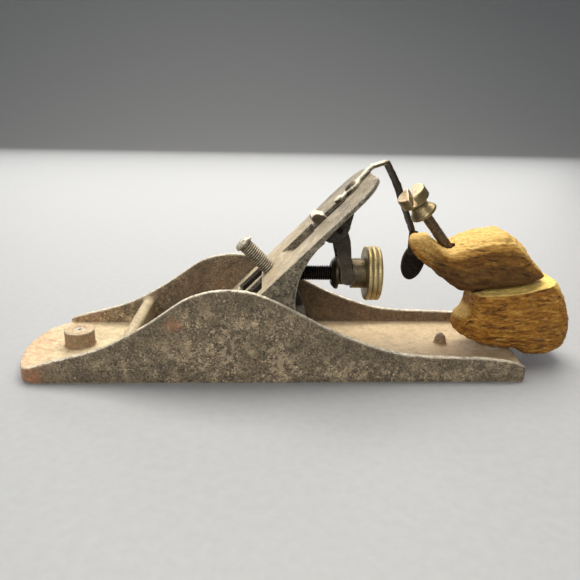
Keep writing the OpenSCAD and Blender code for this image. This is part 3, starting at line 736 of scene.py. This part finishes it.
def make_knob_stub():
    piece = from_node("knob_stud_stub", "knob_stub")
    remesh(piece, 0.2, 2)
    roughen(piece, 0.06, 1.4, 41)
    # top faces get the light edge colour: painted top light
    finish_piece(piece, SCREW_STEEL, lit_and_rubbed=0.4 * step(normals_of(piece.data)[:, 2], 0.7, 0.95))


def make_frog_screws():
    for side in ("left", "right"):
        simple_metal(f"frog_screw_{side}", f"frog_screw_{side}_head", DARK_STEEL, seed=43)
        simple_metal(f"frog_washer_{side}", f"frog_washer_{side}_ring", DARK_STEEL, depth=0)


def make_cap_screw():
    piece = from_node("lever_cap_screw", "cap_screw")
    remesh(piece, 0.14, 1)
    joint = JOINTS["cap_screw_turn"]
    origin, axis = joint["pos_m"], joint["axis"]
    cut_thread(piece, origin, axis, span=(-13.2, 8.0), radius=3.55, pitch=PITCH, depth=0.38)
    roughen(piece, 0.05, 1.1, 47)
    points = points_of(piece.data)
    along = (points - np.array(origin)) @ np.array(axis) / MM
    head = step(along, 8.3, 9.2) * (0.85 + 0.3 * noise(points, 2, 48, octaves=2))
    finish_piece(piece, SCREW_STEEL, wear_and_highlight=(0.06, 0.20), cavity=(0.05, 0.20), lit_and_rubbed=head)


def make_stud():
    piece = from_node("adjusting_stud", "stud")
    remesh(piece, 0.16, 1)
    low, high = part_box("adjusting_stud")
    origin = (low.x, 0.0, (low.z + high.z) / 2)
    length, radius = (high.x - low.x) / MM, (high.z - low.z) / 2 / MM
    cut_thread(piece, origin, (1, 0, 0), span=(6, length - 1.2), radius=radius, pitch=PITCH, depth=0.5,
               left_hand=True)
    # near-black steel: painted shade, as the frog shades the stud
    finish_piece(piece, DARK_STEEL, wear_and_highlight=(0.10, 0.24), cavity=(0.05, 0.2))


# how far the 45 degree bed's face lies from the origin, in millimetres
BED_OFFSET = 32.9


def make_yoke():
    piece = from_node("yoke", "yoke_lever")
    remesh(piece, 0.3, 4)
    roughen(piece, 0.07, 1.4, 51)
    points, normals = points_of(piece.data), normals_of(piece.data)
    proud = (points[:, 2] - points[:, 0]) / MM / math.sqrt(2) - BED_OFFSET
    lifted = step(proud, 0.4, 1.2) * step(normals[:, 2], 0.1, 0.6)
    finish_piece(piece, YOKE_IRON, wear_and_highlight=(0.05, 0.18), lit_and_rubbed=lifted)
    # painted shade on the yoke below the bed's face, heavier near the top
    darken(piece.data, (0.30 + 0.60 * step(points[:, 2] / MM, 46, 58)) * step(proud, 0, -2))
    simple_metal("yoke_pin", "yoke_pivot", DARK_STEEL, voxel=0.2, seed=53)


def make_lever():
    piece = from_node("lateral_lever", "side_lever")
    remesh(piece, 0.3, 6)

    def rusted(points, normals):
        pits = step(noise(points, 1.8, 63, octaves=2), 0.45, 0.75)
        return MM * (0.22 * noise(points, 2.8, 61, octaves=3) - 0.25 * pits)

    swell(piece, rusted)
    points, normals = points_of(piece.data), normals_of(piece.data)
    # painted highlight: the lit top faces get the light edge colour
    lit_and_rubbed = step(normals[:, 2], -0.1, 0.5) * (0.9 + 0.6 * noise(points, 2.5, 64, octaves=2))
    finish_piece(piece, LEVER_STEEL, wear_and_highlight=(0.05, 0.18), cavity=(0.06, 0.2), lit_and_rubbed=lit_and_rubbed)
    # painted shade on the hanging end
    darken(piece.data, 0.8 * step(points[:, 0] / MM, 48, 54))
    simple_metal("lateral_rivet", "side_lever_rivet", LEVER_STEEL, voxel=0.16, depth=0.05, seed=65)
    thumb = from_node("thumb_piece", "thumb_pad")
    remesh(thumb, 0.3, 6)
    roughen(thumb, 0.10, 3.0, 67)
    finish_piece(thumb, THUMB_STEEL)
    simple_metal("thumb_rivet", "thumb_pad_rivet", THUMB_STEEL, voxel=0.16, seed=69)


# ---- Brass ----

def make_wheel():
    """The depth wheel: its CAD ribs, with fine worn knurling across their rims."""
    piece = from_node("adjusting_wheel", "wheel")
    remesh(piece, 0.22, 2)
    low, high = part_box("adjusting_wheel")
    centre_z, radius = (low.z + high.z) / 2, (high.z - low.z) / 2
    teeth_round = 84
    clear_of_collar = 0.01

    def knurl(points, normals):
        height = points[:, 2] - centre_z
        rim = step(np.hypot(points[:, 1], height), radius - 1.3 * MM, radius - 0.7 * MM)
        worn_away = step(noise(points, 5, 81, octaves=2), -0.35, 0.35)
        teeth = np.cos(np.arctan2(height, points[:, 1]) * teeth_round)
        flat = step(np.abs(normals[:, 0]), 0.7, 0.95)
        uneven = 0.04 * (1 - 0.9 * flat) * noise(points, 1.2, 83, octaves=3)
        return MM * (0.04 * teeth * rim * worn_away - 0.04 * rim + uneven - clear_of_collar)

    swell(piece, knurl)
    finish_piece(piece, WHEEL_BRASS, wear_and_highlight=(0.05, 0.18), cavity=(0.02, 0.12))
    # painted shade on the wheel's flat side faces
    darken(piece.data, 0.5 * step(np.abs(normals_of(piece.data)[:, 0]), 0.7, 0.95))


def make_collar():
    piece = simple_metal("nut_collar", "collar", SHADED_BRASS, voxel=0.22, depth=0.05, seed=85)
    # painted shade on the front flange
    darken(piece.data, 0.7 * step(points_of(piece.data)[:, 0] / MM, 37, 35))


def make_tote_nut():
    piece = from_node("tote_nut", "rod_nut")
    remesh(piece, 0.2, 3)
    roughen(piece, 0.08, 1.4, 87)
    # painted top light: the nut's top faces get the light edge colour
    lit_tops = step(normals_of(piece.data) @ np.array(JOINTS["tote_nut_turn"]["axis"]), 0.75, 0.95)
    finish_piece(piece, NUT_BRASS, wear_and_highlight=(0.04, 0.15), lit_and_rubbed=0.9 * lit_tops)


# ---- Rod and wooden tote ----

def make_rod():
    piece = from_node("tote_rod", "handle_rod")
    remesh(piece, 0.2, 1)
    joint = JOINTS["tote_nut_turn"]
    cut_thread(piece, joint["pos_m"], joint["axis"], span=(50, 72), radius=2.4, pitch=1.15, depth=0.10)
    swell(piece, lambda points, normals: MM * (0.16 * noise(points, 1.8, 91, octaves=3) - 0.02))
    finish_piece(piece, ROD_STEEL, wear_and_highlight=(0.06, 0.2), cavity=(0.05, 0.2))


def carve(node, name, seed, grain_tilt, shade_share):
    """A worn wooden piece: its CAD solid softened, then weathered along the grain.

    grain_tilt is in degrees. The last argument paints shade on the sides and underside, and takes the fresh look
    of the broken face away.
    """
    piece = from_node(node, name)
    remesh(piece, 0.45, 4)
    mesh = piece.data
    x, _, z = points_of(mesh).T / MM
    neck = step(x, 82, 87) * step(x, 104, 98) * step(z, 36, 33) * step(z, 14, 18)
    soften(mesh, 0.95 * neck, 200)
    points, normals = points_of(mesh), normals_of(mesh)
    turn = np.array(Matrix.Rotation(math.radians(grain_tilt), 3, "Y"))
    grain = points @ turn.T
    lumps = noise(points, (20, 12, 10), seed, octaves=2)
    figure = noise(grain, (5, 2.4, 1.7), seed + 3, octaves=3)
    fibres = noise(grain, (2.4, 0.9, 0.75), seed + 7, octaves=2)
    pits = step(noise(grain, (6.5, 3, 1.3), seed + 11, octaves=2), 0.36, 0.62)
    end_grain = step(np.abs(normals @ turn[0]), 0.55, 0.95)
    worn_off = 0.15
    relief = 0.40 * lumps + (1 - 0.5 * end_grain) * (0.65 * figure + 0.36 * fibres - 0.65 * pits) - worn_off
    set_points(mesh, points + normals * (relief * MM)[:, None])

    x, _, z = points.T / MM
    facing_up = normals[:, 2]
    paint(mesh, "groove", np.maximum(pits, step(-figure, 0.20, 0.65)))
    paint(mesh, "ridge", step(figure + 0.4 * fibres, 0.2, 0.7))
    # painted top light on the front end and on top faces
    lit_nose = 0.7 * step(x, 77, 69) * step(facing_up, -0.4, 0.3)
    paint(mesh, "top_light_and_dust", np.maximum(step(facing_up, 0.25, 0.70), lit_nose))
    # painted shade on the sides and underside, towards the back
    paint(mesh, "side_shade", shade_share * step(facing_up, 0.35, -0.15) * step(x, 66, 76))
    broken = step(z, 24, 30) * step(x, 96, 101) * step(facing_up, 0.30, 0.65)
    cleanness = (1 - shade_share) * (0.85 + 0.5 * noise(grain, (4, 2, 2), seed + 13, octaves=2))
    paint(mesh, "fresh", 0.9 * broken * cleanness)
    finish_piece(piece, WOOD, wear_and_highlight=(0.05, 0.2), cavity=(0.10, 0.35), blur=2)


def make_tote():
    carve("tote_lower", "tote_base", seed=101, grain_tilt=3, shade_share=0.0)
    carve("tote_upper", "tote_top", seed=131, grain_tilt=-10, shade_share=1.0)


make_camera()
make_world()
make_stage()
make_light("overhead", size=(1.1, 0.7), power=18, place=(0.05, 0.35, 0.95), target=(0, 0, 0.02),
           colour=(1.0, 0.975, 0.93))
make_light("front", size=(0.9, 0.5), power=5.8, place=(-0.3, -0.9, 0.55), target=(0, 0, 0.04),
           colour=(0.95, 0.97, 1.0))
make_light("behind", size=(1.4, 0.35), power=5.0, place=(0.0, 1.0, 0.30), target=(0, 0, 0.05),
           colour=(1.0, 1.0, 1.0))
make_body()
make_frog()
make_knob_stub()
make_frog_screws()
make_cap_screw()
make_stud()
make_yoke()
make_lever()
make_wheel()
make_collar()
make_tote_nut()
make_rod()
make_tote()
